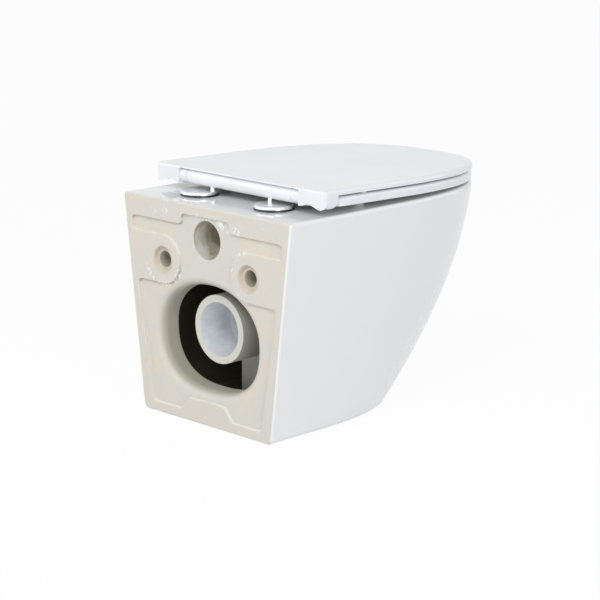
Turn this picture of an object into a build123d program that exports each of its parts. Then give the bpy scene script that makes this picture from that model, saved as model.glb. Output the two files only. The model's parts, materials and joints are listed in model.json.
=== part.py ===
from build123d import *
import math
import os

# Wall hung toilet: a ceramic pan with a soft-close seat and lid.
# Millimetres. The wall is the plane Y = 0 and the pan projects towards -Y, with +Z up.
# The origin lies on the wall, midway between the two wall fixing holes.

# Pan, outside
PAN_WIDTH = 352.0
PAN_FOOT_WIDTH = 272.0
PAN_PROJECTION = 489.0
FOOT_SETBACK = 176.0
DECK_Z = 90.0
BASE_Z = -234.0
SIDE_STRAIGHT_SHARE = 0.45
FOOT_STRAIGHT_SHARE = 0.30
SIDE_POWER = 2.7
NOSE_POWER = 2.5
SECTION_COUNT = 6
OUTLINE_POINTS = 9
DECK_EDGE_R = 5.0
BASE_EDGE_R = 10.0
REAR_EDGE_R = 3.0

# Pan, walls
SIDE_WALL = 12.0
REAR_WALL = 15.0
DECK_WALL = 13.0
BASE_WALL = 11.0
BOWL_WALL = 10.0

# Bowl
RIM_BAND = 56.0
RIM_REAR_Y = -142.0
RIM_HALF_WIDTH = 116.0
RIM_COLLAR = 34.0
RIM_LEDGE = 8.0
RIM_EDGE_R = 6.0
LEDGE_EDGE_R = 3.0
BOWL_POWER = 2.25
BOWL_FULLNESS = 1.0
BOWL_LEVELS = 6
SUMP_Y = -264.0
SUMP_HALF_WIDTH = 34.0
SUMP_HALF_LENGTH = 28.0
SUMP_FLOOR = 5.0

# Outlet and trap
INLET_TO_OUTLET = 135.0
INLET_Z = 41.0
OUTLET_Z = INLET_Z - INLET_TO_OUTLET
OUTLET_R = 51.0
OUTLET_BORE_R = 40.5
OUTLET_RECESS = 27.5
SPIGOT_LENGTH = 60.0
TRAP_R = 27.0
TRAP_WALL = 9.0
TRAP_SILL = 2.0
TRAP_CREST_Y = -115.0
TRAP_BEND_R = 48.0
TRAP_CLIMB_DEG = 65.0
HOUSING_HALF_WIDTH = 50.0
HOUSING_REAR_Y = -120.0
HOUSING_LENGTH = 58.0

# Inlet
INLET_R = 28.2
INLET_DEPTH = 70.0
INLET_WALL = 7.5
INLET_EDGE_R = 1.5
SPREADER_R = 10.0
SPREADER_DROP = 6.0

# Wall fixings
FIXING_SPACING = 180.0
FIXING_R = 12.5
FIXING_MOUTH_R = 20.0
FIXING_FLOOR_R = 15.5
FIXING_MOUTH_DEPTH = 5.0
FIXING_EDGE_R = 1.0
FIXING_BOSS_R = 24.0
FIXING_BOSS_LENGTH = 54.0

# Egg-shaped opening in the rear face, around the outlet
OPENING_HALF_WIDTH = 100.0
OPENING_TOP_Z = -27.0
OPENING_WIDEST_Z = -100.0
OPENING_BOTTOM_Z = -182.0
OPENING_TOP_POWER = 2.1
OPENING_BOTTOM_POWER = 2.5
OPENING_WALL = 11.0
OPENING_DEPTH = 38.0
OPENING_LIP_R = 14.0

# Relief on the rear face
RELIEF_DEPTH = 4.4
RELIEF_FLOOR_R = 2.2
RELIEF_RIM_R = 2.0
RELIEF_CORNER_R = 7.0
ARM_HALF_WIDTH = PAN_WIDTH / 2 - 18.0
ARM_TOP_Z = 58.0
CENTRE_HALF_WIDTH = 50.0
CENTRE_TOP_Z = 74.0
FIXING_PAD_R = 36.0
LOWER_TOP_HALF_WIDTH = PAN_WIDTH / 2 - 30.0
LOWER_FOOT_HALF_WIDTH = PAN_FOOT_WIDTH / 2 - 22.0
LOWER_FOOT_Z = -219.0
FOOT_PAD_HALF_WIDTH = 56.0
FOOT_PAD_TOP_HALF_WIDTH = 38.0
FOOT_PAD_TOP_Z = -199.0

# Seat hinge
HINGE_Y = -76.0
HINGE_Z = 112.5
BARREL_R = 11.5
BARREL_HALF = PAN_WIDTH / 2 - 67.0
BARREL_EDGE_R = 1.2
RUNNING_GAP = 0.4
RADIAL_FIT = 0.05
SHAFT_R = 4.0
SHAFT_FLAT = 3.2
SHAFT_TAIL_R = 3.1
DAMPER_R = 8.2
DAMPER_FLOOR = 16.0
DAMPER_POST_GAP = 3.4
EAR_WIDTH = 15.0
CHEEK_WIDTH = 12.0
BUSH_WALL = 1.6
POST_INSET = 17.5
POST_Y = -73.0
POST_R = 3.6
POST_IN_BARREL = 16.0
CLOSED_SLOPE_DEG = 1.5

# Hinge fixings through the deck
HINGE_HOLE_SPACING = 155.0
POST_X = HINGE_HOLE_SPACING / 2 - POST_INSET
DAMPER_LENGTH = BARREL_HALF - POST_X - POST_R - DAMPER_POST_GAP
SHAFT_IN_DAMPER = DAMPER_LENGTH - DAMPER_FLOOR
HINGE_HOLE_Y = -63.0
HINGE_HOLE_R = 8.0
ROSETTE_R = 29.25
ROSETTE_HEIGHT = 7.3
ROSETTE_WALL = 1.2
ROSETTE_BEVEL = 3.2
ROSETTE_LIFT = 0.3
GASKET_T = 1.0
PLATE_T = 2.0
PLATE_R = 26.0
SCREW_R = 3.0
SCREW_LENGTH = 56.0
SCREW_HEAD_R = 6.0
SCREW_FIT = 0.1
PLUG_LENGTH = 30.0
PLUG_FIT = 0.2
PLUG_FLARE = 2.0
NUT_FLATS = 13.0
NUT_T = 9.0

# Seat
SEAT_HALF_WIDTH = PAN_WIDTH / 2 - 0.2
SEAT_REACH = PAN_PROJECTION - 1.5
SEAT_T = 14.0
SEAT_UNDER_HINGE = 10.3
SEAT_REAR_Y = -94.6
SEAT_CORNER_R = 9.0
SEAT_EDGE_R = 5.5
SEAT_LOWER_EDGE_R = 3.0
SEAT_HOLE_HALF_WIDTH = RIM_HALF_WIDTH - 8.0
SEAT_HOLE_REAR_Y = RIM_REAR_Y - 24.0
SEAT_HOLE_FRONT_Y = RIM_BAND - PAN_PROJECTION + 5.0
SEAT_HOLE_POWER = 2.3
SEAT_HOLE_EDGE_R = 5.0

# Lid
LID_HALF_WIDTH = PAN_WIDTH / 2
LID_REACH = PAN_PROJECTION - 0.5
LID_TOP_OVER_HINGE = 14.8
LID_SKIRT = 8.2
LID_PLATE_T = 4.0
LID_BAND = 15.0
LID_EDGE_R = 4.5
LID_REAR_Y = -64.2
LID_POCKET_REAR_Y = -106.0
LID_REAR_DROP = 3.3
LID_CORNER_R = 8.0
LID_APRON_T = 5.0
LID_APRON_Z = 105.0
LOBE_R = 12.5
LOBE_Y = -79.6
LOBE_WIDTH = 26.0

# Buffers
SEAT_BUFFER_R = 9.0
LID_BUFFER_R = 4.5
BUFFER_SINK = 2.0
BUFFER_GAP = 0.2
SEAT_BUFFER_REAR = (PAN_WIDTH / 2 - 36.0, -170.0)
SEAT_BUFFER_FRONT = (PAN_WIDTH / 2 - 76.0, 71.0 - PAN_PROJECTION)
LID_BUFFER_REAR = (PAN_WIDTH / 2 - 8.0, -150.0)
LID_BUFFER_FRONT = (PAN_WIDTH / 2 - 37.0, 89.0 - PAN_PROJECTION)

FLOOR_Z = BASE_Z + BASE_WALL
DECK_UNDER_Z = DECK_Z - DECK_WALL
SUMP_Z = FLOOR_Z + SUMP_FLOOR
LEDGE_Z = DECK_Z - RIM_COLLAR
TRAP_BOTTOM_Z = SUMP_Z + TRAP_SILL + TRAP_R
SEAT_BOTTOM_Z = HINGE_Z - SEAT_UNDER_HINGE
SEAT_TOP_Z = SEAT_BOTTOM_Z + SEAT_T
LID_TOP_Z = HINGE_Z + LID_TOP_OVER_HINGE
LID_SKIRT_Z = LID_TOP_Z - LID_SKIRT
EAR_X = BARREL_HALF + RUNNING_GAP
CHEEK_X = EAR_X + EAR_WIDTH + RUNNING_GAP
HINGE_AXIS = Axis((0, HINGE_Y, HINGE_Z), (1, 0, 0))
SIDES = {"left": 1, "right": -1}


def arc_power(value, power):
    return abs(value) ** (2.0 / power)


def nose_points(half_width, reach, straight_y):
    """Points of the rounded front, from the left side round to the right side."""
    points = []
    for i in range(2 * OUTLINE_POINTS + 1):
        angle = math.pi * i / (2 * OUTLINE_POINTS)
        x = half_width * arc_power(math.cos(angle), SIDE_POWER)
        y = straight_y - (reach + straight_y) * arc_power(math.sin(angle), NOSE_POWER)
        points.append((math.copysign(x, math.cos(angle)), y))
    return points


def d_outline(half_width, reach, rear_y, share=SIDE_STRAIGHT_SHARE):
    """A D-shaped face in the XY plane: straight rear, parallel sides and a rounded nose."""
    straight_y = -share * reach
    nose = Spline(*nose_points(half_width, reach, straight_y), tangents=[(0, -1), (0, 1)])
    left = Line((half_width, rear_y), (half_width, straight_y))
    right = Line((-half_width, straight_y), (-half_width, rear_y))
    rear = Line((-half_width, rear_y), (half_width, rear_y))
    return make_face(left + nose + right + rear)


def oval(half_width, rear_y, front_y, power, count=24):
    """A closed superellipse in the XY plane."""
    middle = (rear_y + front_y) / 2
    half_length = (rear_y - front_y) / 2
    points = []
    for i in range(count):
        angle = 2 * math.pi * i / count
        x = math.copysign(half_width * arc_power(math.cos(angle), power), math.cos(angle))
        y = math.copysign(half_length * arc_power(math.sin(angle), power), math.sin(angle))
        points.append((x, middle + y))
    return make_face(Spline(*points, periodic=True))


def cylinder_x(radius, x0, x1, y=HINGE_Y, z=HINGE_Z):
    plane = Plane((x0, y, z), x_dir=(0, 1, 0), z_dir=(1, 0, 0))
    return extrude(plane * Circle(radius), x1 - x0)


def cylinder_y(radius, y0, y1, x, z):
    plane = Plane((x, y0, z), x_dir=(1, 0, 0), z_dir=(0, 1, 0))
    return extrude(plane * Circle(radius), y1 - y0)


def cylinder_z(radius, z0, z1, x, y):
    return extrude(Plane((x, y, z0)) * Circle(radius), z1 - z0)


def block(x0, x1, y0, y1, z0, z1):
    size = (x1 - x0, y1 - y0, z1 - z0)
    centre = ((x0 + x1) / 2, (y0 + y1) / 2, (z0 + z1) / 2)
    return Pos(*centre) * Box(*size)


def mirrored(solid):
    return mirror(solid, Plane.YZ)


def pan_section(z, inset):
    """The pan's outline at a height; the foot is drawn back along a parabola."""
    depth = (DECK_Z - z) / (DECK_Z - BASE_Z)
    half_width = (PAN_WIDTH + (PAN_FOOT_WIDTH - PAN_WIDTH) * depth) / 2
    reach = PAN_PROJECTION - FOOT_SETBACK * depth ** 2
    share = SIDE_STRAIGHT_SHARE + (FOOT_STRAIGHT_SHARE - SIDE_STRAIGHT_SHARE) * depth
    rear_y = REAR_WALL if inset == 0 else -REAR_WALL
    return Pos(0, 0, z) * d_outline(half_width - inset, reach - inset, rear_y, share)


def pan_shell(z0, z1, inset):
    levels = [z0 + (z1 - z0) * i / (SECTION_COUNT - 1) for i in range(SECTION_COUNT)]
    return loft([pan_section(z, inset) for z in levels])


def bowl_section(z, depth, grow):
    """The bowl's outline; depth runs from 0 under the rim to 1 at the sump.

    The front and the sides bulge, and the rear falls in a straight slope.
    """
    share = max(0.0, 1 - depth ** 2) ** BOWL_FULLNESS
    sump_rear = SUMP_Y + SUMP_HALF_LENGTH
    sump_front = SUMP_Y - SUMP_HALF_LENGTH
    ledge_front = -(PAN_PROJECTION - RIM_BAND - RIM_LEDGE)
    half_width = SUMP_HALF_WIDTH + (RIM_HALF_WIDTH - RIM_LEDGE - SUMP_HALF_WIDTH) * share
    rear_y = sump_rear + (RIM_REAR_Y - RIM_LEDGE - sump_rear) * (1 - depth)
    front_y = sump_front + (ledge_front - sump_front) * share
    return Pos(0, 0, z) * oval(half_width + grow, rear_y + grow, front_y - grow, BOWL_POWER)


def bowl(grow):
    sections = []
    for i in range(BOWL_LEVELS):
        depth = i / (BOWL_LEVELS - 1)
        sections.append(bowl_section(LEDGE_Z + (SUMP_Z - grow - LEDGE_Z) * depth, depth, grow))
    return loft(sections)


def bowl_collar(grow, top_z):
    front_y = -(PAN_PROJECTION - RIM_BAND)
    outline = oval(RIM_HALF_WIDTH + grow, RIM_REAR_Y + grow, front_y - grow, BOWL_POWER)
    return extrude(Pos(0, 0, LEDGE_Z - grow) * outline, top_z - LEDGE_Z + grow)


def trap_path():
    run = (OUTLET_Z - TRAP_BOTTOM_Z) / math.tan(math.radians(TRAP_CLIMB_DEG))
    tangent = TRAP_BEND_R * math.tan(math.radians(TRAP_CLIMB_DEG / 2)) + 1
    upper_y = TRAP_CREST_Y - tangent
    corners = [
        (0, SUMP_Y, TRAP_BOTTOM_Z),
        (0, upper_y - run, TRAP_BOTTOM_Z),
        (0, upper_y, OUTLET_Z),
        (0, TRAP_CREST_Y, OUTLET_Z),
    ]
    return FilletPolyline(*corners, radius=TRAP_BEND_R)


def trap(grow):
    """The trapway from the sump over the weir, widening into the outlet spigot."""
    path = trap_path()
    start = Plane(origin=path @ 0, x_dir=(1, 0, 0), z_dir=path % 0)
    climb = sweep(start * Circle(TRAP_R + grow), path)
    outlet_r = OUTLET_BORE_R if grow == 0 else OUTLET_R
    spigot_y = -(OUTLET_RECESS + SPIGOT_LENGTH)
    crest = Plane((0, TRAP_CREST_Y, OUTLET_Z), x_dir=(1, 0, 0), z_dir=(0, 1, 0))
    mouth = Plane((0, spigot_y, OUTLET_Z), x_dir=(1, 0, 0), z_dir=(0, 1, 0))
    flare = loft([crest * Circle(TRAP_R + grow), mouth * Circle(outlet_r)])
    spigot = cylinder_y(outlet_r, spigot_y, -OUTLET_RECESS, 0, OUTLET_Z)
    return climb + flare + spigot


def opening_outline(grow):
    """The egg round the outlet, in the plane of the wall: rounder above, fuller below."""
    points = []
    for i in range(4 * OUTLINE_POINTS):
        angle = 2 * math.pi * i / (4 * OUTLINE_POINTS)
        upper = math.sin(angle) >= 0
        power = OPENING_TOP_POWER if upper else OPENING_BOTTOM_POWER
        end_z = OPENING_TOP_Z + grow if upper else OPENING_BOTTOM_Z - grow
        x = (OPENING_HALF_WIDTH + grow) * arc_power(math.cos(angle), power)
        z = OPENING_WIDEST_Z + (end_z - OPENING_WIDEST_Z) * arc_power(math.sin(angle), power)
        points.append((math.copysign(x, math.cos(angle)), z))
    return Plane.XZ * make_face(Spline(*points, periodic=True))


def span(x0, x1, z0, z1):
    return Pos((x0 + x1) / 2, (z0 + z1) / 2) * Rectangle(x1 - x0, z1 - z0)


def relief_outline():
    """The shallow recess cast into the rear face, which leaves the pads that meet the wall."""
    pad_x = FIXING_SPACING / 2
    arms = span(-ARM_HALF_WIDTH, ARM_HALF_WIDTH, FIXING_PAD_R, ARM_TOP_Z)
    centre = span(-CENTRE_HALF_WIDTH, CENTRE_HALF_WIDTH, ARM_TOP_Z - 1, CENTRE_TOP_Z)
    waist = span(-pad_x, pad_x, -FIXING_PAD_R, FIXING_PAD_R)
    lower = Polygon(
        (LOWER_TOP_HALF_WIDTH, -FIXING_PAD_R),
        (-LOWER_TOP_HALF_WIDTH, -FIXING_PAD_R),
        (-LOWER_FOOT_HALF_WIDTH, LOWER_FOOT_Z),
        (LOWER_FOOT_HALF_WIDTH, LOWER_FOOT_Z),
        align=None,
    )
    foot_pad = Polygon(
        (-FOOT_PAD_TOP_HALF_WIDTH, FOOT_PAD_TOP_Z),
        (FOOT_PAD_TOP_HALF_WIDTH, FOOT_PAD_TOP_Z),
        (FOOT_PAD_HALF_WIDTH, LOWER_FOOT_Z - 1),
        (-FOOT_PAD_HALF_WIDTH, LOWER_FOOT_Z - 1),
        align=None,
    )
    pads = [Pos(side * pad_x, 0) * Circle(FIXING_PAD_R) for side in SIDES.values()]
    outline = arms + centre + waist + lower - foot_pad - pads[0] - pads[1]
    corners = [v for v in outline.vertices() if abs(abs(v.X) - pad_x) > 1]
    return Plane.XZ * fillet(corners, RELIEF_CORNER_R)


def edges_at(solid, axis, value):
    return solid.edges().filter_by_position(axis, value - 0.01, value + 0.01)


def pan_blank():
    """The outside of the pan, with rounded edges and the relief on its rear face."""
    blank = pan_shell(BASE_Z, DECK_Z, 0)
    reach = 2 * PAN_PROJECTION
    blank -= block(-reach, reach, 0, reach, -reach, reach)
    blank = fillet([e for e in edges_at(blank, Axis.Z, DECK_Z) if e.center().Y < -1], DECK_EDGE_R)
    blank = fillet([e for e in edges_at(blank, Axis.Z, BASE_Z) if e.center().Y < -1], BASE_EDGE_R)
    blank = fillet(edges_at(blank, Axis.Y, 0), REAR_EDGE_R)
    relief = extrude(relief_outline(), RELIEF_DEPTH)
    relief = fillet(edges_at(relief, Axis.Y, -RELIEF_DEPTH), RELIEF_FLOOR_R)
    blank -= relief
    rear = blank.faces().filter_by(GeomType.PLANE).sort_by(Axis.Y)[-1]
    return fillet(rear.inner_wires()[0].edges(), RELIEF_RIM_R)


def below(z):
    reach = 2 * PAN_PROJECTION
    return block(-reach, reach, -reach, reach, -reach, z)


def pan_skin():
    """The outer walls of the casting, with the hollow inside them."""
    return pan_blank() - pan_shell(FLOOR_Z, DECK_UNDER_Z, SIDE_WALL)


def skirt_room():
    """The space of the skirt: under the deck and in front of the rear wall."""
    reach = 2 * PAN_PROJECTION
    return block(-reach, reach, -reach, -REAR_WALL, -reach, DECK_UNDER_Z)


def fixing_hole(x):
    middle = Plane((x, -FIXING_MOUTH_DEPTH / 2, 0), x_dir=(1, 0, 0), z_dir=(0, -1, 0))
    mouth = middle * Cone(FIXING_MOUTH_R, FIXING_FLOOR_R, FIXING_MOUTH_DEPTH)
    return mouth + cylinder_y(FIXING_R, -FIXING_BOSS_LENGTH - 1, 0, x, 0)


def round_edges_at(solid, y, radius):
    """The circular edges of one radius that lie in a plane parallel to the wall."""
    circles = edges_at(solid, Axis.Y, y).filter_by(GeomType.CIRCLE)
    return [e for e in circles if abs(e.radius - radius) < 0.01]


def inlet_bore():
    """The socket of the flush pipe and the narrower port through which it fills the bowl."""
    port_y = RIM_REAR_Y - RIM_LEDGE - SPREADER_R
    port = cylinder_y(SPREADER_R, port_y, -INLET_DEPTH + 1, 0, INLET_Z - SPREADER_DROP)
    return port + cylinder_y(INLET_R, -INLET_DEPTH, 1, 0, INLET_Z)


def deck_room():
    """The space of the deck, over its whole depth up to the wall."""
    reach = 2 * PAN_PROJECTION
    return block(-reach, reach, -reach, reach, DECK_UNDER_Z, reach)


def deck_and_rear_wall(skin):
    """The deck and the rear wall, with the fixing bosses and the collar of the opening."""
    body = skin - skirt_room()
    middle_y = -REAR_WALL / 2
    body += Pos(0, middle_y, 0) * extrude(opening_outline(OPENING_WALL), OPENING_DEPTH + middle_y)
    for side in SIDES.values():
        x = side * FIXING_SPACING / 2
        body += cylinder_y(FIXING_BOSS_R, -FIXING_BOSS_LENGTH, middle_y, x, 0)
    body -= extrude(opening_outline(0), OPENING_DEPTH + 1)
    body -= bowl_collar(0, DECK_Z + 1)
    body -= cylinder_y(INLET_R, -INLET_DEPTH, 1, 0, INLET_Z)
    for side in SIDES.values():
        body -= fixing_hole(side * FIXING_SPACING / 2)
        x = side * HINGE_HOLE_SPACING / 2
        body -= cylinder_z(HINGE_HOLE_R, DECK_UNDER_Z - 1, DECK_Z + 1, x, HINGE_HOLE_Y)
    return pan_edges(body)


def pan_edges(body):
    """Rounds the edges that glaze runs over: rim, opening lip, inlet and fixing mouths."""
    floor_edges = edges_at(body, Axis.Y, -RELIEF_DEPTH)
    lip = [e for e in floor_edges if e.length > 4 * OPENING_HALF_WIDTH]
    body = fillet(lip, OPENING_LIP_R)
    body = fillet(round_edges_at(body, -RELIEF_DEPTH, INLET_R), INLET_EDGE_R)
    body = fillet(round_edges_at(body, 0, FIXING_MOUTH_R), FIXING_EDGE_R)
    rim = [e for e in edges_at(body, Axis.Z, DECK_Z) if e.center().Y < RIM_REAR_Y]
    rim = [e for e in rim if e.is_closed]
    return fillet(rim, RIM_EDGE_R)


def pan_skirt(skin):
    """The sides, the nose and the base."""
    return skin & skirt_room()


def pan_bowl():
    """The bowl and the collar that joins it to the deck."""
    body = bowl(BOWL_WALL) + bowl_collar(BOWL_WALL, DECK_UNDER_Z) - below(FLOOR_Z)
    body -= bowl(0)
    body -= bowl_collar(0, DECK_Z)
    ledge = [e for e in edges_at(body, Axis.Z, LEDGE_Z) if e.is_closed]
    body = fillet(sorted(ledge, key=lambda e: e.length)[:1], LEDGE_EDGE_R)
    return body - trap(0) - inlet_bore()


def trap_housing():
    """The flat-backed box round the trapway, hollow and open towards the bowl."""
    shells = []
    for inset in (0, TRAP_WALL):
        half_width = HOUSING_HALF_WIDTH - inset
        arch = span(-half_width, half_width, FLOOR_Z, OUTLET_Z)
        arch += Pos(0, OUTLET_Z) * Circle(half_width)
        rear_y = HOUSING_REAR_Y - inset
        length = HOUSING_LENGTH - inset
        shells.append(Pos(0, rear_y, 0) * extrude(Plane.XZ * arch, length))
    return shells[0] - shells[1]


def pan_trapway():
    """The trapway from the bowl's sump to the outlet spigot, in its housing."""
    body = trap(TRAP_WALL) + trap_housing() - below(FLOOR_Z)
    return body - bowl(BOWL_WALL) - trap(0)


def pan_inlet():
    """The pipe from the rear wall to the bowl's collar."""
    pipe = cylinder_y(INLET_R + INLET_WALL, RIM_REAR_Y - RIM_LEDGE, -REAR_WALL, 0, INLET_Z)
    return pipe - bowl(BOWL_WALL) - bowl_collar(BOWL_WALL, DECK_Z) - inlet_bore()


def barrel():
    """The fixed bar of the hinge, bored at both ends for the dampers."""
    bar = cylinder_x(BARREL_R, -BARREL_HALF, BARREL_HALF)
    bar = fillet(bar.edges().filter_by(GeomType.CIRCLE), BARREL_EDGE_R)
    for side in SIDES.values():
        inner_x = side * (BARREL_HALF - DAMPER_LENGTH)
        bar -= cylinder_x(DAMPER_R, *sorted((inner_x, side * (BARREL_HALF + 1))))
        bar -= cylinder_z(POST_R, 0, post_top_z(), side * POST_X, POST_Y)
    return bar


def post_top_z():
    return HINGE_Z - BARREL_R + POST_IN_BARREL


def plate_top_z():
    return DECK_Z + GASKET_T + PLATE_T


def damper():
    """The left damper, a plug-in cylinder with a blind socket for its shaft."""
    end_x = BARREL_HALF - DAMPER_LENGTH
    body = cylinder_x(DAMPER_R, end_x, BARREL_HALF)
    socket_x = BARREL_HALF - SHAFT_IN_DAMPER
    return body - cylinder_x(SHAFT_R + RADIAL_FIT, socket_x - RUNNING_GAP, BARREL_HALF + 1)


def double_d(x0, x1, grow=0.0):
    """A round bar with two flats, which keys a shaft to the piece that turns it."""
    flat = SHAFT_FLAT + grow
    bar = cylinder_x(SHAFT_R + grow, x0, x1)
    slab = block(x0, x1, HINGE_Y - SHAFT_R - 1, HINGE_Y + SHAFT_R + 1, HINGE_Z - flat, HINGE_Z + flat)
    return bar & slab


def shaft_tip_x():
    return CHEEK_X + CHEEK_WIDTH - 2


def seat_shaft():
    """The left shaft: keyed in the seat's ear, with a thinner tail in the lid's cheek."""
    shaft = cylinder_x(SHAFT_R, BARREL_HALF - SHAFT_IN_DAMPER, EAR_X)
    shaft += double_d(EAR_X, EAR_X + EAR_WIDTH)
    return shaft + cylinder_x(SHAFT_TAIL_R, EAR_X + EAR_WIDTH, shaft_tip_x())


def lid_shaft():
    """The right shaft: round through the seat's ear and keyed in the lid's cheek."""
    shaft = cylinder_x(SHAFT_R, BARREL_HALF - SHAFT_IN_DAMPER, CHEEK_X)
    return mirrored(shaft + double_d(CHEEK_X, shaft_tip_x()))


def bush(inner_r, x0, x1):
    bore_r = inner_r + RADIAL_FIT
    return cylinder_x(bore_r + BUSH_WALL, x0, x1) - cylinder_x(bore_r, x0, x1)


def seat_bush():
    return mirrored(bush(SHAFT_R, EAR_X, EAR_X + EAR_WIDTH))


def lid_bush():
    return bush(SHAFT_TAIL_R, CHEEK_X, shaft_tip_x())


def bush_hole(inner_r, x0, x1):
    return cylinder_x(inner_r + RADIAL_FIT + BUSH_WALL, x0, x1)


def post():
    return cylinder_z(POST_R, plate_top_z(), post_top_z(), POST_X, POST_Y)


def rosette():
    """The round cover over one hinge fixing: a thin dished cap with a hole for the post."""
    x = HINGE_HOLE_SPACING / 2
    low_z = DECK_Z + ROSETTE_LIFT
    top_z = DECK_Z + ROSETTE_HEIGHT
    cap = cylinder_z(ROSETTE_R, low_z, top_z, x, HINGE_HOLE_Y)
    cap = fillet(edges_at(cap, Axis.Z, top_z), ROSETTE_BEVEL)
    inside_r = ROSETTE_R - ROSETTE_WALL
    inside = cylinder_z(inside_r, low_z - 1, top_z - ROSETTE_WALL, x, HINGE_HOLE_Y)
    inside = fillet(edges_at(inside, Axis.Z, top_z - ROSETTE_WALL), ROSETTE_BEVEL - ROSETTE_WALL)
    cap -= inside
    return cap - cylinder_z(POST_R + SCREW_FIT, low_z, top_z + 1, POST_X, POST_Y)


def gasket():
    x = HINGE_HOLE_SPACING / 2
    disc = cylinder_z(PLATE_R, DECK_Z, DECK_Z + GASKET_T, x, HINGE_HOLE_Y)
    return disc - cylinder_z(HINGE_HOLE_R, DECK_Z, DECK_Z + GASKET_T, x, HINGE_HOLE_Y)


def screw_head(grow=0.0):
    """The countersunk head, flush with the top of the base plate."""
    place = Pos(HINGE_HOLE_SPACING / 2, HINGE_HOLE_Y, plate_top_z() - PLATE_T / 2)
    return place * Cone(SCREW_R + grow, SCREW_HEAD_R + grow, PLATE_T)


def base_plate():
    x = HINGE_HOLE_SPACING / 2
    plate = cylinder_z(PLATE_R, DECK_Z + GASKET_T, plate_top_z(), x, HINGE_HOLE_Y)
    return plate - screw_head(SCREW_FIT)


def fixing_screw():
    x = HINGE_HOLE_SPACING / 2
    low_z = plate_top_z() - SCREW_LENGTH
    return screw_head() + cylinder_z(SCREW_R, low_z, plate_top_z() - PLATE_T, x, HINGE_HOLE_Y)


def plug_low_z():
    return DECK_Z - PLUG_FIT - PLUG_LENGTH


def expansion_plug():
    """The rubber sleeve that the screw squeezes out under the deck."""
    outer_r = HINGE_HOLE_R - PLUG_FIT
    top_z = DECK_Z - PLUG_FIT
    low_z = plug_low_z()
    waist_z = DECK_UNDER_Z - PLUG_FIT
    bulge = ThreePointArc(
        (outer_r, waist_z), (outer_r + PLUG_FLARE, (waist_z + low_z) / 2), (outer_r, low_z)
    )
    bore_r = SCREW_R + SCREW_FIT
    sides = Polyline((outer_r, low_z), (bore_r, low_z), (bore_r, top_z), (outer_r, top_z))
    profile = make_face(bulge + sides + Line((outer_r, top_z), (outer_r, waist_z)))
    sleeve = revolve(Plane.XZ * profile, Axis.Z)
    return Pos(HINGE_HOLE_SPACING / 2, HINGE_HOLE_Y, 0) * sleeve


def plug_nut():
    hexagon = RegularPolygon(NUT_FLATS / 2, 6, major_radius=False) - Circle(SCREW_R + SCREW_FIT)
    place = Pos(HINGE_HOLE_SPACING / 2, HINGE_HOLE_Y, plug_low_z() - NUT_T)
    return place * extrude(hexagon, NUT_T)


def seat():
    """The ring, its two hinge ears and the sockets for its buffers, before it is closed."""
    outline = d_outline(SEAT_HALF_WIDTH, SEAT_REACH, SEAT_REAR_Y)
    rear_corners = [v for v in outline.vertices() if v.Y > SEAT_REAR_Y - 1]
    outline = fillet(rear_corners, SEAT_CORNER_R)
    ring = extrude(Pos(0, 0, SEAT_BOTTOM_Z) * outline, SEAT_T)
    ring = fillet(edges_at(ring, Axis.Z, SEAT_TOP_Z), SEAT_EDGE_R)
    ring = fillet(edges_at(ring, Axis.Z, SEAT_BOTTOM_Z), SEAT_LOWER_EDGE_R)
    hole = oval(SEAT_HOLE_HALF_WIDTH, SEAT_HOLE_REAR_Y, SEAT_HOLE_FRONT_Y, SEAT_HOLE_POWER)
    ring -= extrude(Pos(0, 0, SEAT_BOTTOM_Z - 1) * hole, SEAT_T + 2)
    hole_top = [e for e in edges_at(ring, Axis.Z, SEAT_TOP_Z) if e.is_closed]
    ring = fillet(sorted(hole_top, key=lambda e: e.length)[:1], SEAT_HOLE_EDGE_R)
    ear_z0 = HINGE_Z - BARREL_R * math.cos(math.radians(45))
    for side in SIDES.values():
        x0, x1 = sorted((side * EAR_X, side * (EAR_X + EAR_WIDTH)))
        ring += cylinder_x(BARREL_R, x0, x1)
        ring += block(x0, x1, SEAT_REAR_Y - SEAT_CORNER_R, HINGE_Y, ear_z0, SEAT_TOP_Z)
    ring -= double_d(EAR_X - 1, EAR_X + EAR_WIDTH + 1)
    ring -= bush_hole(SHAFT_R, -EAR_X - EAR_WIDTH - 1, -EAR_X + 1)
    for x, y in both_sides(SEAT_BUFFER_REAR, SEAT_BUFFER_FRONT):
        ring -= cylinder_z(SEAT_BUFFER_R, SEAT_BOTTOM_Z - 1, SEAT_BOTTOM_Z + BUFFER_SINK, x, y)
    return ring


def both_sides(*places):
    return [(side * x, y) for x, y in places for side in SIDES.values()]


def closed(solid):
    """Tips a moving piece about the hinge to the slight forward slope it rests at."""
    return solid.rotate(HINGE_AXIS, CLOSED_SLOPE_DEG)


def seat_buffers():
    """Pads from their sockets in the seat down to the level deck."""
    pads = []
    for x, y in both_sides(SEAT_BUFFER_REAR, SEAT_BUFFER_FRONT):
        pad = closed(cylinder_z(SEAT_BUFFER_R, DECK_Z - SEAT_T, SEAT_BOTTOM_Z + BUFFER_SINK, x, y))
        pads.append(pad - below(DECK_Z + BUFFER_GAP))
    return pads


def lid_buffers():
    pads = []
    low_z = SEAT_TOP_Z + BUFFER_GAP
    for x, y in both_sides(LID_BUFFER_REAR, LID_BUFFER_FRONT):
        pads.append(closed(cylinder_z(LID_BUFFER_R, low_z, LID_SKIRT_Z + BUFFER_SINK, x, y)))
    return pads


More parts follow.
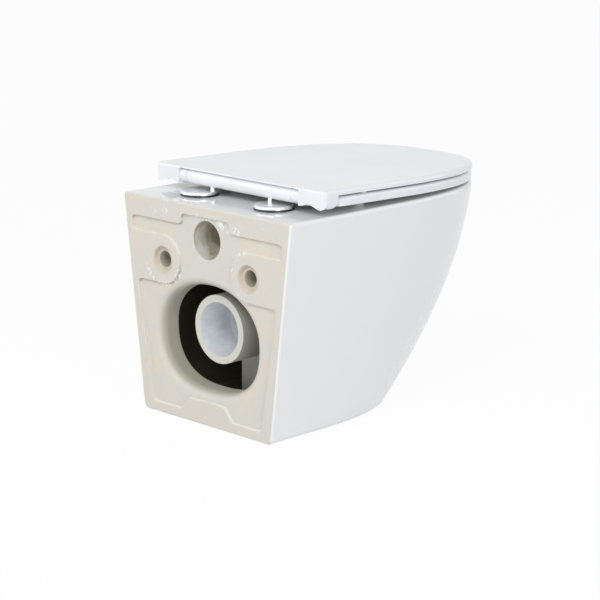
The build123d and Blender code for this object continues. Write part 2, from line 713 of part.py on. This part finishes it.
def lid_apron_outline():
    """The lower edge of the lid's rear wall on the left, seen from behind."""
    side_x = LID_HALF_WIDTH
    lobe_x = side_x - LOBE_WIDTH
    cheek_z = HINGE_Z - BARREL_R
    lobe_z = HINGE_Z - LOBE_R
    edge = Spline(
        (CHEEK_X, cheek_z),
        (CHEEK_X + CHEEK_WIDTH, (cheek_z + LID_APRON_Z) / 2),
        (lobe_x - LOBE_R / 2, LID_APRON_Z),
        (lobe_x + LOBE_R / 2, (lobe_z + LID_APRON_Z) / 2),
        (side_x - LOBE_R / 2, lobe_z),
        (side_x, HINGE_Z),
        tangents=[(1, 0), (0, 1)],
    )
    frame = Polyline((side_x, HINGE_Z), (side_x, LID_TOP_Z), (CHEEK_X, LID_TOP_Z), (CHEEK_X, cheek_z))
    return make_face(edge + frame)


def lobe_profile():
    """The side view of the lid's rear corner: a rounded lobe under the edge."""
    front_y = LOBE_Y - LOBE_R
    rear_y = LOBE_Y + LOBE_R
    bottom = ThreePointArc((front_y, HINGE_Z), (LOBE_Y, HINGE_Z - LOBE_R), (rear_y, HINGE_Z))
    frame = Polyline(
        (rear_y, HINGE_Z),
        (LID_REAR_Y, LID_SKIRT_Z),
        (LID_REAR_Y, LID_TOP_Z),
        (front_y, LID_TOP_Z),
        (front_y, HINGE_Z),
    )
    return make_face(bottom + frame)


def lid_rear_corner():
    """The left rear corner: the apron, the lobe and the cheek that takes the shaft."""
    lobe_depth = LID_REAR_Y - LOBE_Y + LOBE_R
    outline = Plane((0, LID_REAR_Y, 0), x_dir=(1, 0, 0), z_dir=(0, -1, 0)) * lid_apron_outline()
    apron = extrude(outline, LID_APRON_T)
    yz_plane = Plane((LID_HALF_WIDTH - LOBE_WIDTH, 0, 0), x_dir=(0, 1, 0), z_dir=(1, 0, 0))
    lobe = extrude(yz_plane * lobe_profile(), LOBE_WIDTH)
    lobe &= extrude(outline, lobe_depth + 1)
    cheek_x1 = CHEEK_X + CHEEK_WIDTH
    cheek = cylinder_x(BARREL_R, CHEEK_X, cheek_x1)
    cheek += block(CHEEK_X, cheek_x1, HINGE_Y - BARREL_R, HINGE_Y + BARREL_R, HINGE_Z, LID_SKIRT_Z)
    return apron + lobe + cheek


def lid():
    """The cover: a flat top with a short skirt, open below, before it is closed."""
    outline = d_outline(LID_HALF_WIDTH, LID_REACH, LID_REAR_Y)
    rear_corners = [v for v in outline.vertices() if v.Y > LID_REAR_Y - 1]
    outline = fillet(rear_corners, LID_CORNER_R)
    cover = extrude(Pos(0, 0, LID_SKIRT_Z) * outline, LID_SKIRT)
    corner = lid_rear_corner() & extrude(Pos(0, 0, DECK_Z) * outline, LID_TOP_Z - DECK_Z)
    cover += corner
    cover += mirrored(corner)
    cover = fillet(edges_at(cover, Axis.Z, LID_TOP_Z), LID_EDGE_R)
    pocket = d_outline(LID_HALF_WIDTH - LID_BAND, LID_REACH - LID_BAND, LID_POCKET_REAR_Y)
    cover -= extrude(Pos(0, 0, LID_SKIRT_Z - 1) * pocket, LID_SKIRT - LID_PLATE_T + 1)
    cover -= cylinder_x(BARREL_R + RUNNING_GAP, -CHEEK_X, CHEEK_X)
    drop_z = LID_TOP_Z - LID_REAR_DROP
    cover -= block(-CHEEK_X, CHEEK_X, HINGE_Y, 0, BASE_Z, drop_z)
    cover -= bush_hole(SHAFT_TAIL_R, CHEEK_X - 1, shaft_tip_x())
    cover -= mirrored(double_d(CHEEK_X - 1, shaft_tip_x()))
    for x, y in both_sides(LID_BUFFER_REAR, LID_BUFFER_FRONT):
        cover -= cylinder_z(LID_BUFFER_R, LID_SKIRT_Z - 1, LID_SKIRT_Z + BUFFER_SINK, x, y)
    return cover


def left_and_right(name, left):
    return {name + "_left": left, name + "_right": mirrored(left)}


def build():
    skin = pan_skin()
    casting = deck_and_rear_wall(skin)
    nodes = {"pan": casting - deck_room(), "pan_deck": casting & deck_room()}
    nodes["pan_skirt"] = pan_skirt(skin)
    nodes["pan_bowl"] = pan_bowl()
    nodes["pan_trapway"] = pan_trapway()
    nodes["pan_inlet"] = pan_inlet()
    nodes["hinge_barrel"] = barrel()
    nodes["seat"] = closed(seat())
    nodes["lid"] = closed(lid())
    nodes["seat_buffers"] = Compound(children=seat_buffers())
    nodes["lid_buffers"] = Compound(children=lid_buffers())
    nodes["seat_shaft"] = closed(seat_shaft())
    nodes["lid_shaft"] = closed(lid_shaft())
    nodes["seat_bush"] = closed(seat_bush())
    nodes["lid_bush"] = closed(lid_bush())
    nodes.update(left_and_right("damper", damper()))
    nodes.update(left_and_right("hinge_post", post()))
    nodes.update(left_and_right("rosette", rosette()))
    nodes.update(left_and_right("base_plate", base_plate()))
    nodes.update(left_and_right("base_gasket", gasket()))
    nodes.update(left_and_right("fixing_screw", fixing_screw()))
    nodes.update(left_and_right("expansion_plug", expansion_plug()))
    nodes.update(left_and_right("plug_nut", plug_nut()))
    return nodes


os.makedirs("parts", exist_ok=True)
for node_name, node_solid in build().items():
    export_step(node_solid, os.path.join("parts", node_name + ".step"))
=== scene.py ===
import json
import math

import bpy
from mathutils import Matrix, Vector


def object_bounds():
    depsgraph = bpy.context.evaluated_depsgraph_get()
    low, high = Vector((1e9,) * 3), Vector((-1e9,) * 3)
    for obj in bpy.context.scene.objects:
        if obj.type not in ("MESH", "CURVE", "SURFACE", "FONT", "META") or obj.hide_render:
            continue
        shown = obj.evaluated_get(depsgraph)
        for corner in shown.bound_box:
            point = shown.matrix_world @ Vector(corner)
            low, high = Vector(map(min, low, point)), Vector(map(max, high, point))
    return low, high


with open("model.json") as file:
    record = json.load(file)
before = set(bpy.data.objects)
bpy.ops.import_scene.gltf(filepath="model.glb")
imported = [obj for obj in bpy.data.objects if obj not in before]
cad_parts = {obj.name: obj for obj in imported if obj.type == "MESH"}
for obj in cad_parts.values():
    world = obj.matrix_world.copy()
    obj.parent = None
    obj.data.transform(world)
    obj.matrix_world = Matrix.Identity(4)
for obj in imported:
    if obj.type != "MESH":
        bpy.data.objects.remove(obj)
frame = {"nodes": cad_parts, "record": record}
cad_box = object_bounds()

# Camera, fitted to the photograph
CAMERA_PLACE = (-2.1307, 1.9438, 0.6525)
CAMERA_AIM = (-0.0096, -0.1840, -0.0749)
CAMERA_ROLL_DEG = 0.11
CAMERA_LENS = 123.85
SENSOR_WIDTH = 36.0

# Studio
FLOOR_SIZE = 60.0
FLOOR_GAP = 0.0006
FLOOR_WHITE_SHARE = 0.95
SKY_LEVEL = 0.48
SKY_COLOR = (0.97, 0.98, 1.0)
FLOOR_COLOR = (0.88, 0.88, 0.88)

# The pan's outline, which tells its outer skin from the walls of its hollow
HALF_WIDTH = 0.176
FOOT_NARROWING = 0.040
REACH = 0.489
FOOT_SETBACK = 0.176
DECK_Z = 0.090
PAN_HEIGHT = 0.324
STRAIGHT_SHARE = 0.45
SHARE_LOSS = 0.15
SIDE_POWER = 2.7
NOSE_POWER = 2.5
SKIN_LEVEL = 0.97
BOWL_CENTRE_Y = -0.287
BOWL_REAR_Y = -0.134
OUTLET_Z = -0.094
INLET_Z = 0.041
FIXING_X = 0.090
RELIEF_DEPTH = 0.0044
# below these heights the chrome gets a painted dark reflection, low on the rosettes' rims
ROSETTE_PAINTED_REFLECTION_Z = (0.0936, 0.0930)
HOLLOW_SHADE_Y = (-0.036, -0.070)
SPIGOT_SHADE_Y = (-0.121, -0.127)

# Colours, as linear values
GLAZE = (0.87, 0.87, 0.875)
PAD_CLAY = (0.68, 0.66, 0.605)
FLOOR_CLAY = (0.675, 0.662, 0.605)
CLAY_PEACH = (0.74, 0.665, 0.555)
RING_PEACH = (0.58, 0.49, 0.385)
CLAY_OLIVE = (0.56, 0.545, 0.46)
LIP_OLIVE = (0.47, 0.455, 0.375)
SPIGOT_CLAY = (0.66, 0.655, 0.58)
# painted shade and painted highlight for the relief's step walls: brown where they face down, cream
# where they face up
PAINTED_SHADE_BROWN = (0.42, 0.375, 0.29)
PAINTED_HIGHLIGHT_CREAM = (0.80, 0.78, 0.72)
# painted shade, dark brown, deep inside the hollow
HOLLOW_PAINTED_SHADE = (0.10, 0.088, 0.058)
HOUSING_CLAY = (0.83, 0.82, 0.74)
INLET_OLIVE = (0.50, 0.47, 0.37)
INLET_DRIP = (0.80, 0.79, 0.74)
BORE_GLAZE = (0.76, 0.79, 0.83)
BORE_PALE = (0.87, 0.89, 0.91)
# glaze flecks, whiter than the glaze as a painted highlight
FLECK_AND_HIGHLIGHT_WHITE = (0.94, 0.95, 0.96)
PLASTIC = (0.86, 0.875, 0.90)


class Field:
    """A number that varies over a surface: the output of a shader node."""

    def __init__(self, tree, socket):
        self.tree = tree
        self.socket = socket

    def maths(self, operation, *others, clamp=False):
        node = self.tree.nodes.new("ShaderNodeMath")
        node.operation = operation
        node.use_clamp = clamp
        for socket, value in zip(node.inputs, (self, *others)):
            plug(self.tree, value, socket)
        return Field(self.tree, node.outputs[0])

    def __add__(self, other):
        return self.maths("ADD", other)

    def __sub__(self, other):
        return self.maths("SUBTRACT", other)

    def __mul__(self, other):
        return self.maths("MULTIPLY", other)

    def __truediv__(self, other):
        return self.maths("DIVIDE", other)

    def __pow__(self, other):
        return self.maths("POWER", other)

    def __abs__(self):
        return self.maths("ABSOLUTE")

    def __or__(self, other):
        return self.maths("MAXIMUM", other)

    def __invert__(self):
        return self.maths("MULTIPLY_ADD", -1.0, 1.0)

    def ramp(self, low, high):
        """0 at low and 1 at high, smooth between them; low may be the larger."""
        node = self.tree.nodes.new("ShaderNodeMapRange")
        node.interpolation_type = "SMOOTHSTEP"
        plug(self.tree, self, node.inputs["Value"])
        node.inputs["From Min"].default_value = low
        node.inputs["From Max"].default_value = high
        return Field(self.tree, node.outputs["Result"])


def plug(tree, value, socket):
    if isinstance(value, Field):
        tree.links.new(value.socket, socket)
    elif isinstance(value, bpy.types.NodeSocket):
        tree.links.new(value, socket)
    elif isinstance(value, tuple):
        socket.default_value = (*value, 1.0)
    else:
        socket.default_value = value


class Surface:
    """A material, with the fields that its colour, gloss and relief are made from."""

    def __init__(self, name, **constants):
        self.material = bpy.data.materials.new(name)
        self.material.use_nodes = True
        self.tree = self.material.node_tree
        self.shader = self.tree.nodes["Principled BSDF"]
        self.place = self.tree.nodes.new("ShaderNodeTexCoord").outputs["Object"]
        for socket_name, value in constants.items():
            self.set(socket_name.replace("_", " "), value)

    def set(self, socket_name, value):
        plug(self.tree, value, self.shader.inputs[socket_name])

    def split(self, vector):
        node = self.tree.nodes.new("ShaderNodeSeparateXYZ")
        self.tree.links.new(vector, node.inputs[0])
        return [Field(self.tree, output) for output in node.outputs]

    def position(self):
        return self.split(self.place)

    def normal(self):
        return self.split(self.tree.nodes.new("ShaderNodeNewGeometry").outputs["True Normal"])

    def noise(self, scale, detail=2.0, stretch=(1, 1, 1)):
        """Noise with about this many lumps to the metre, squeezed along each axis."""
        mapping = self.tree.nodes.new("ShaderNodeMapping")
        mapping.inputs["Scale"].default_value = stretch
        self.tree.links.new(self.place, mapping.inputs["Vector"])
        node = self.tree.nodes.new("ShaderNodeTexNoise")
        node.inputs["Scale"].default_value = scale
        node.inputs["Detail"].default_value = detail
        self.tree.links.new(mapping.outputs[0], node.inputs["Vector"])
        return Field(self.tree, node.outputs["Fac"])

    def mix(self, share, first, second):
        """first where share is 0, second where it is 1; both are colours."""
        node = self.tree.nodes.new("ShaderNodeMix")
        node.data_type = "RGBA"
        plug(self.tree, share, node.inputs["Factor"])
        sockets = [s for s in node.inputs if s.type == "RGBA"]
        plug(self.tree, first, sockets[0])
        plug(self.tree, second, sockets[1])
        return next(s for s in node.outputs if s.type == "RGBA")

    def between(self, share, first, second):
        """The same for two plain numbers."""
        return share.maths("MULTIPLY_ADD", second - first, first)

    def relief(self, height, depth):
        """Bump from a 0 to 1 height, which stands for a depth in metres."""
        node = self.tree.nodes.new("ShaderNodeBump")
        node.inputs["Distance"].default_value = depth
        plug(self.tree, height, node.inputs["Height"])
        self.tree.links.new(node.outputs[0], self.shader.inputs["Normal"])


def radius(a, b):
    return (a * a + b * b).maths("SQRT")


def outline_level(x, y, z):
    """1 on the pan's outer skin and less inside it, the same way the body is lofted."""
    depth = (z - DECK_Z) / -PAN_HEIGHT
    half_width = depth.maths("MULTIPLY_ADD", -FOOT_NARROWING, HALF_WIDTH)
    reach = (depth * depth).maths("MULTIPLY_ADD", -FOOT_SETBACK, REACH)
    straight = depth.maths("MULTIPLY_ADD", -SHARE_LOSS, STRAIGHT_SHARE) * reach
    along = ((y * -1.0 - straight) / (reach - straight)).maths("MAXIMUM", 0.0)
    side = abs(x) / half_width
    return (side ** SIDE_POWER + along ** NOSE_POWER) ** (2.0 / (SIDE_POWER + NOSE_POWER))


class Casting(Surface):
    """The pan's fired clay, and the glaze laid over parts of it."""

    def __init__(self, node_name):
        super().__init__(node_name + "_ceramic", IOR=1.52)
        self.x, self.y, self.z = self.position()
        spigot = node_name == "pan_trapway"
        self.shade_y = SPIGOT_SHADE_Y if spigot else HOLLOW_SHADE_Y
        self.deep_color = SPIGOT_CLAY if spigot else LIP_OLIVE
        self.ragged = self.noise(160, 3.0)
        self.fine = self.noise(900, 3.0)
        self.color = self.clay_color()
        self.wet = self.ragged * 0.0
        self.flecks_and_highlights = self.wet

    def coat(self, mask, color, gloss=None):
        """Lays a colour where the mask is 1, glossy there or where gloss says."""
        self.color = self.mix(mask, self.color, color)
        self.wet = self.wet | (mask if gloss is None else mask * gloss)

    def inward(self, axis_y):
        """1 on a wall that faces an upright axis in the middle plane."""
        nx, ny, _ = self.normal()
        return (nx * self.x + ny * (self.y - axis_y)).ramp(0.0, -0.002)

    def clay_color(self):
        """Cream on the wall face, peach in the pockets, painted shade and a painted highlight on the
        relief's step walls, and darker and browner deep inside the hollow as painted shade.
        """
        floor = self.y.ramp(-RELIEF_DEPTH + 0.0016, -RELIEF_DEPTH + 0.0004)
        step = self.y.ramp(-0.0004, -0.0012) * self.y.ramp(-RELIEF_DEPTH, -RELIEF_DEPTH + 0.0010)
        pocket = floor * (abs(self.x) - 0.04).ramp(0.0, 0.05)
        ring = abs(radius(abs(self.x) - FIXING_X, self.z) - 0.0165).ramp(0.007, 0.001)
        broad = self.noise(22, 3.0)
        color = self.mix(floor, PAD_CLAY, FLOOR_CLAY)
        _, _, nz = self.normal()
        # painted shade on the step walls that face down, and a painted highlight on those that face
        # up
        color = self.mix(step * nz.ramp(0.05, -0.35), color, PAINTED_SHADE_BROWN)
        color = self.mix(step * nz.ramp(0.10, 0.60), color, PAINTED_HIGHLIGHT_CREAM)
        peach = (pocket | (~floor * 0.5)) * broad.ramp(0.34, 0.62) * 0.8
        color = self.mix(peach, color, CLAY_PEACH)
        color = self.mix(ring * 0.8, color, RING_PEACH)
        color = self.mix(self.ragged.ramp(0.45, 0.75) * 0.12, color, CLAY_OLIVE)
        low_share = self.z.ramp(-0.090, -0.170).maths("MULTIPLY_ADD", 0.20, 0.80)
        lip = self.y.ramp(-0.0048, -0.0120) * low_share
        color = self.mix(lip, color, self.deep_color)
        # painted shade: dark brown deep inside the hollow
        return self.mix(self.y.ramp(*self.shade_y), color, HOLLOW_PAINTED_SHADE)

    def coat_skin(self):
        """White glaze on the deck, the sides and the nose, ragged where it meets the wall face."""
        skin = outline_level(self.x, self.y, self.z).ramp(SKIN_LEVEL - 0.002, SKIN_LEVEL + 0.002)
        skin = skin | self.z.ramp(0.0830, 0.0840) | self.z.ramp(-0.2236, -0.2242)
        edge = outline_level(self.x, self.y, self.z) + self.ragged * 0.006
        wrapped = edge.ramp(0.982, 0.985) * self.x.ramp(0.0, -0.010)
        below_face = (self.y + self.ragged * 0.0016).ramp(-0.0012, -0.0020)
        self.coat(skin * below_face | wrapped, GLAZE)

    def coat_rim(self):
        rim = self.inward(BOWL_CENTRE_Y) * self.y.ramp(BOWL_REAR_Y, BOWL_REAR_Y - 0.001)
        self.coat(rim * self.z.ramp(0.0765, 0.0768), GLAZE)

    def coat_bowl(self):
        """The whole cavity: its walls, the ledge under the rim and the floor of the sump."""
        _, _, nz = self.normal()
        self.coat(self.inward(BOWL_CENTRE_Y) | nz.ramp(0.30, 0.40), GLAZE)

    def coat_outlet(self):
        back = self.y.ramp(-0.1188, -0.1194) * ~self.y.ramp(-0.1206, -0.1212)
        self.coat(back, HOUSING_CLAY, 0.0)
        nx, _, nz = self.normal()
        side = (nx * self.x + nz * (self.z - OUTLET_Z)).ramp(0.0, -0.002)
        bore = side * radius(self.x, self.z - OUTLET_Z).ramp(0.0475, 0.0470)
        swirl = self.noise(42, 4.0, (1.0, 1.0, 2.4)).ramp(0.40, 0.62)
        self.coat(bore * self.y.ramp(-0.170, -0.169), self.mix(swirl * 0.8, BORE_GLAZE, BORE_PALE))

    def coat_inlet(self):
        """An olive wash in the inlet pipe, with glossy drips that ran down its sides."""
        drips = self.noise(60, 3.0, (1.0, 1.0, 0.35)).ramp(0.48, 0.62)
        pipe = radius(self.x, self.z - INLET_Z).ramp(0.0292, 0.0286) * self.y.ramp(-0.0050, -0.0058)
        self.coat(pipe, self.mix(drips * 0.85, INLET_OLIVE, INLET_DRIP), drips)

    def coat_flecks_and_highlights(self):
        """Glossy flecks of glaze on the wall face, painted whiter than the glaze as highlights:
        along the top, at two pads and a side.
        """
        x, y, z = self.x, self.y, self.z
        wander = self.noise(18, 1.0) * 0.02 - 0.01
        top = abs(z + wander - 0.068).ramp(0.012, 0.003) * abs(x + 0.005).ramp(0.130, 0.090)
        top = top * self.noise(26, 1.0).ramp(0.46, 0.56)
        right_arc = abs(radius(x + FIXING_X, z) - 0.0362).ramp(0.006, 0.0020)
        right_arc = right_arc * (x + FIXING_X).ramp(0.002, 0.016)
        left_arc = abs(radius(x - FIXING_X, z) - 0.0362).ramp(0.005, 0.0015) * z.ramp(-0.004, -0.016)
        places = (top | right_arc | left_arc) * y.ramp(-0.0054, -0.0048)
        self.flecks_and_highlights = places * self.noise(300, 2.0, (1.0, 1.0, 0.6)).ramp(0.52, 0.58)
        # glossy glaze flecks, their white partly a painted highlight
        self.coat(self.flecks_and_highlights, FLECK_AND_HIGHLIGHT_WHITE)

    def fire(self):
        """Sets the shader from the coats."""
        self.set("Base Color", self.color)
        self.set("Roughness", self.between(self.wet, 0.62, 0.07) + (self.fine - 0.5) * 0.05)
        grain = self.fine * 0.35 + self.ragged * 0.65
        smooth = self.noise(14, 1.0) * 0.6
        self.relief(grain * ~self.wet + smooth * self.wet + self.flecks_and_highlights * 0.8, 0.00035)


def casting_surface(node_name):
    """The fired clay of one node of the pan, with the coats that reach it."""
    casting = Casting(node_name)
    for coat in COATS[node_name]:
        coat(casting)
    casting.fire()
    return casting


COATS = {
    "pan": (Casting.coat_skin, Casting.coat_inlet, Casting.coat_flecks_and_highlights),
    "pan_deck": (Casting.coat_skin, Casting.coat_rim, Casting.coat_flecks_and_highlights),
    "pan_skirt": (Casting.coat_skin,),
    "pan_bowl": (Casting.coat_bowl,),
    "pan_trapway": (Casting.coat_outlet,),
    "pan_inlet": (Casting.coat_inlet,),
}


def moulded_surface(name, color, roughness, grain):
    """Moulded plastic: a gloss that wavers a little, with a very fine orange-peel surface."""
    surface = Surface(name, IOR=1.50)
    cloud = surface.noise(9, 2.0)
    fine = surface.noise(grain, 2.0)
    shade = tuple(c * 0.965 for c in color)
    surface.set("Base Color", surface.mix(cloud.ramp(0.3, 0.7), shade, color))
    surface.set("Roughness", surface.between(fine, roughness - 0.03, roughness + 0.03))
    surface.relief(fine * 0.4 + surface.noise(60, 1.0) * 0.6, 0.00006)
    return surface


def chrome_surface():
    """Polished plating with a faint haze and wiping marks, and a painted dark reflection low on the
    rosettes' rims.
    """
    surface = Surface("chrome_plate", Metallic=1.0)
    haze = surface.noise(70, 3.0)
    wipe = surface.noise(30, 2.0, (1.0, 9.0, 1.0))
    plate = surface.mix(haze.ramp(0.3, 0.8), (0.80, 0.81, 0.83), (0.88, 0.89, 0.91))
    _, _, z = surface.position()
    # painted dark reflection low on the rosettes' rims
    surface.set("Base Color", surface.mix(z.ramp(*ROSETTE_PAINTED_REFLECTION_Z), plate, (0.07, 0.07, 0.075)))
    surface.set("Roughness", surface.between(haze * wipe, 0.18, 0.40))
    surface.relief(wipe, 0.00001)
    return surface


def metal_surface(name, color, roughness, streak):
    """Turned or drawn metal: fine parallel marks along one direction."""
    surface = Surface(name, Metallic=1.0)
    marks = surface.noise(500, 3.0, streak)
    tarnish = surface.noise(45, 3.0)
    dull = tuple(c * 0.8 for c in color)
    surface.set("Base Color", surface.mix(tarnish.ramp(0.35, 0.75), color, dull))
    surface.set("Roughness", surface.between(marks, roughness - 0.1, roughness + 0.1))
    surface.relief(marks, 0.00003)
    return surface


def rubber_surface(name, color, roughness):
    """Soft rubber with a dusty bloom."""
    surface = Surface(name, IOR=1.45)
    bloom = surface.noise(120, 3.0)
    pale = tuple(min(1.0, c * 1.25 + 0.02) for c in color)
    surface.set("Base Color", surface.mix(bloom.ramp(0.4, 0.8), color, pale))
    surface.set("Roughness", surface.between(bloom, roughness, roughness + 0.15))
    surface.relief(surface.noise(1500, 2.0), 0.00004)
    return surface


def dress_nodes():
    """Gives every node of the pan its own surface, and every other node that of its slot."""
    surfaces = {
        "white_plastic": moulded_surface("white_moulding", PLASTIC, 0.17, 700),
        "grey_plastic": moulded_surface("grey_moulding", (0.26, 0.27, 0.28), 0.42, 900),
        "chrome": chrome_surface(),
        "steel": metal_surface("stainless_steel", (0.58, 0.58, 0.59), 0.34, (1, 1, 12)),
        "brass": metal_surface("turned_brass", (0.62, 0.44, 0.18), 0.32, (1, 1, 10)),
        "buffer_rubber": rubber_surface("white_rubber", (0.66, 0.67, 0.68), 0.45),
        "seal_rubber": rubber_surface("black_rubber", (0.025, 0.025, 0.026), 0.55),
    }
    for part in frame["record"]["subparts"]:
        name = part["node"]
        surface = casting_surface(name) if name in COATS else surfaces[part["material_slot"]]
        for slot in frame["nodes"][name].material_slots:
            slot.material = surface.material


def seen_directly(tree):
    """1 for camera, glossy and transmission rays, which show the background, and 0 for light."""
    path = tree.nodes.new("ShaderNodeLightPath")
    names = ("Is Camera Ray", "Is Glossy Ray", "Is Transmission Ray")
    camera, glossy, transmission = [Field(tree, path.outputs[name]) for name in names]
    return camera | glossy | transmission


def add_floor():
    """A pale floor that looks white, and still keeps the object's soft shadow."""
    low_z = cad_box[0][2] - FLOOR_GAP
    bpy.ops.mesh.primitive_plane_add(size=FLOOR_SIZE, location=(0, 0, low_z))
    floor = bpy.context.object
    floor.name = "floor"
    material = bpy.data.materials.new("floor_paper")
    material.use_nodes = True
    tree = material.node_tree
    tree.nodes.clear()
    paper = tree.nodes.new("ShaderNodeBsdfDiffuse")
    paper.inputs["Color"].default_value = (*FLOOR_COLOR, 1.0)
    glow = tree.nodes.new("ShaderNodeEmission")
    mix = tree.nodes.new("ShaderNodeMixShader")
    plug(tree, seen_directly(tree) * FLOOR_WHITE_SHARE, mix.inputs[0])
    tree.links.new(paper.outputs[0], mix.inputs[1])
    tree.links.new(glow.outputs[0], mix.inputs[2])
    output = tree.nodes.new("ShaderNodeOutputMaterial")
    tree.links.new(mix.outputs[0], output.inputs["Surface"])
    floor.data.materials.append(material)


def add_world():
    world = bpy.data.worlds.new("studio")
    bpy.context.scene.world = world
    world.use_nodes = True
    tree = world.node_tree
    tree.nodes.clear()
    light = tree.nodes.new("ShaderNodeBackground")
    light.inputs["Color"].default_value = (*SKY_COLOR, 1.0)
    light.inputs["Strength"].default_value = SKY_LEVEL
    white = tree.nodes.new("ShaderNodeBackground")
    white.inputs["Color"].default_value = (1.0, 1.0, 1.0, 1.0)
    mix = tree.nodes.new("ShaderNodeMixShader")
    plug(tree, seen_directly(tree), mix.inputs[0])
    tree.links.new(light.outputs[0], mix.inputs[1])
    tree.links.new(white.outputs[0], mix.inputs[2])
    output = tree.nodes.new("ShaderNodeOutputWorld")
    tree.links.new(mix.outputs[0], output.inputs["Surface"])


def aimed(place, aim, roll_deg=0.0):
    """A placement that looks from one point to another, with the top kept up."""
    turn = (Vector(aim) - Vector(place)).to_track_quat("-Z", "Y").to_matrix().to_4x4()
    return Matrix.Translation(place) @ turn @ Matrix.Rotation(math.radians(roll_deg), 4, "Z")


def add_softbox(name, place, aim, size, power):
    data = bpy.data.lights.new(name, "AREA")
    data.shape = "DISK"
    data.size = size
    data.energy = power
    lamp = bpy.data.objects.new(name, data)
    lamp.matrix_world = aimed(place, aim)
    bpy.context.scene.collection.objects.link(lamp)


def add_camera():
    data = bpy.data.cameras.new("camera")
    data.sensor_width = SENSOR_WIDTH
    data.lens = CAMERA_LENS
    data.clip_start = 0.05
    data.clip_end = 2 * FLOOR_SIZE
    camera = bpy.data.objects.new("camera", data)
    camera.matrix_world = aimed(CAMERA_PLACE, CAMERA_AIM, CAMERA_ROLL_DEG)
    bpy.context.scene.collection.objects.link(camera)
    bpy.context.scene.camera = camera


bpy.context.scene.view_settings.view_transform = "Standard"
dress_nodes()
add_floor()
add_world()
add_softbox("key", (-0.8, 1.9, 2.3), (0.0, -0.1, 0.05), 1.4, 27.0)
add_softbox("behind", (0.6, 2.7, 1.1), (0.0, -0.1, 0.05), 2.0, 9.0)
add_softbox("far_side", (2.3, 1.9, 1.1), (0.0, -0.05, 0.05), 1.8, 14.0)
add_softbox("camera_side", (-3.0, 1.1, 0.9), (0.0, -0.1, 0.0), 1.5, 22.5)
add_softbox("front", (-1.2, -2.7, 1.2), (0.0, -0.3, 0.0), 1.8, 10.0)
add_camera()
